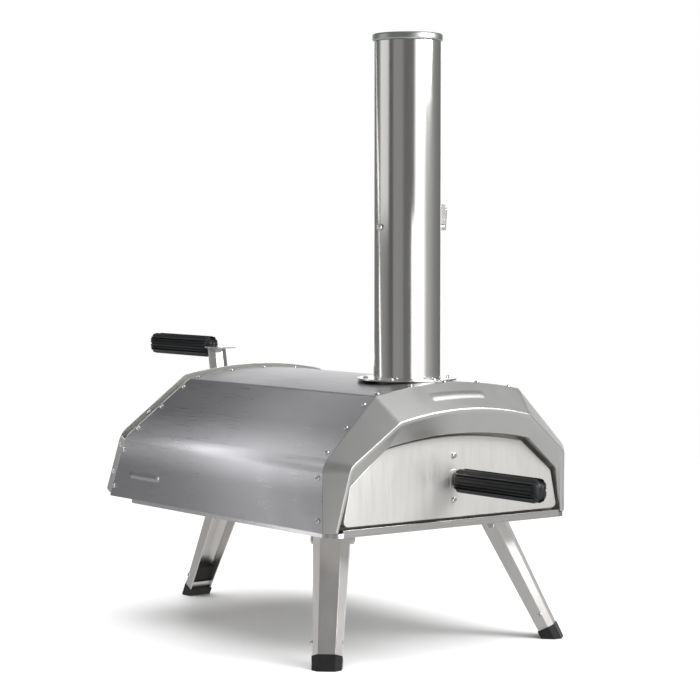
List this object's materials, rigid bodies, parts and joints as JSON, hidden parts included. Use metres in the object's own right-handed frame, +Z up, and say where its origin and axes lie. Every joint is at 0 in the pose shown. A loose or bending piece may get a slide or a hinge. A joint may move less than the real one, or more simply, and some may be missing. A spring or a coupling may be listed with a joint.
{
  "type": "wood fired pizza oven",
  "caption": "Portable wood fired pizza oven: arched steel shell on folding legs, leaning front fascia with pull-off door, tall chimney with damper and cap, rear fuel box with lift-off hatch.",
  "frame": {"origin": "on the floor under the oven, on its centre plane, midway between the two handle tips", "axes": "+X right seen from the front, +Y from the door to the fuel hatch, +Z up"},
  "size_m": [0.41, 0.885, 0.798],
  "materials": {
    "brushed_shell": "brushed along the length, satin",
    "liner_steel": "mill finish, heat stained",
    "plug_steel": "mill finish, heat stained",
    "ceramic_fibre": "matte fibre blanket",
    "blasted_steel": "bead blasted, satin",
    "polished_steel": "fine brushed, bright",
    "polished_tube": "fine brushed along the height, bright",
    "baking_stone": "matte cordierite",
    "black_grip": "matte, fine grain",
    "black_foot": "matte",
    "fastener_steel": "bright zinc"
  },
  "bodies": {
    "oven": {"baking_stone": "baking_stone", "base_tray": "polished_steel", "chimney_collar": "polished_steel", "collar_screws": "fastener_steel", "ember_guard": "liner_steel", "floor_plate": "liner_steel", "front_fascia": "blasted_steel", "front_left_hinge_bolt": "fastener_steel", "front_left_leg_bracket": "polished_steel", "front_right_hinge_bolt": "fastener_steel", "front_right_leg_bracket": "polished_steel", "fuel_box": "liner_steel", "fuel_box_screws": "fastener_steel", "hinge_bushes": "fastener_steel", "inner_liner": "liner_steel", "insulation": "ceramic_fibre", "mouth_plate": "liner_steel", "outer_shell": "brushed_shell", "rear_fascia": "blasted_steel", "rear_fascia_screws": "fastener_steel", "rear_hinge_bolt": "fastener_steel", "rear_leg_bracket": "polished_steel", "rear_liner": "liner_steel", "shell_front_screws": "fastener_steel", "shell_rear_screws": "fastener_steel", "stone_rails": "liner_steel", "tray_screws": "fastener_steel"},
    "door": {"door_plate": "brushed_shell", "door_plug": "plug_steel", "door_bracket": "polished_steel", "door_grip": "black_grip", "door_grip_screws": "fastener_steel", "door_screws": "fastener_steel"},
    "chimney": {"chimney_tube": "polished_tube"},
    "cap": {"chimney_cap": "blasted_steel"},
    "damper": {"damper_plate": "liner_steel", "damper_screws": "fastener_steel", "damper_axle": "fastener_steel", "damper_lever": "blasted_steel"},
    "hatch": {"hatch_plate": "brushed_shell", "hatch_plug": "plug_steel", "hatch_bracket": "polished_steel", "hatch_screws": "fastener_steel", "hatch_grip": "black_grip", "hatch_grip_screws": "fastener_steel"},
    "burner_tray": {"fuel_tray": "liner_steel", "fuel_grate": "liner_steel"},
    "front_left_leg": {"front_left_leg": "polished_steel", "front_left_foot": "black_foot", "front_left_leg_strap": "polished_steel", "front_left_foot_screws": "fastener_steel"},
    "front_right_leg": {"front_right_leg": "polished_steel", "front_right_foot": "black_foot", "front_right_leg_strap": "polished_steel", "front_right_foot_screws": "fastener_steel"},
    "rear_leg": {"rear_leg": "polished_steel", "rear_foot": "black_foot", "rear_leg_strap": "polished_steel", "rear_foot_screws": "fastener_steel"}
  },
  "joints": [
    {"name": "door_pull_off", "type": "slide", "parent": "oven", "child": "door", "axis": [0, -1, 0], "range_m": [0, 0.25]},
    {"name": "chimney_lift_off", "type": "slide", "parent": "oven", "child": "chimney", "axis": [0, 0, 1], "range_m": [0, 0.15]},
    {"name": "cap_lift_off", "type": "slide", "parent": "chimney", "child": "cap", "axis": [0, 0, 1], "range_m": [0, 0.08]},
    {"name": "damper_turn", "type": "hinge", "parent": "chimney", "child": "damper", "pos_m": [0, -0.1777, 0.548], "axis": [1, 0, 0], "range_deg": [0, 90]},
    {"name": "hatch_lift_off", "type": "slide", "parent": "oven", "child": "hatch", "axis": [0, 0, 1], "range_m": [0, 0.15]},
    {"name": "burner_tray_slide", "type": "slide", "parent": "oven", "child": "burner_tray", "axis": [0, 1, 0], "range_m": [0, 0.15]},
    {"name": "front_left_leg_fold", "type": "hinge", "parent": "oven", "child": "front_left_leg", "pos_m": [-0.13494, -0.19446, 0.151], "axis": [0.7547, -0.6561, 0], "range_deg": [0, 110]},
    {"name": "front_right_leg_fold", "type": "hinge", "parent": "oven", "child": "front_right_leg", "pos_m": [0.13494, -0.19446, 0.151], "axis": [0.7547, 0.6561, 0], "range_deg": [0, 110]},
    {"name": "rear_leg_fold", "type": "hinge", "parent": "oven", "child": "rear_leg", "pos_m": [0, 0.24885, 0.151], "axis": [-1, 0, 0], "range_deg": [0, 112]}
  ]
}
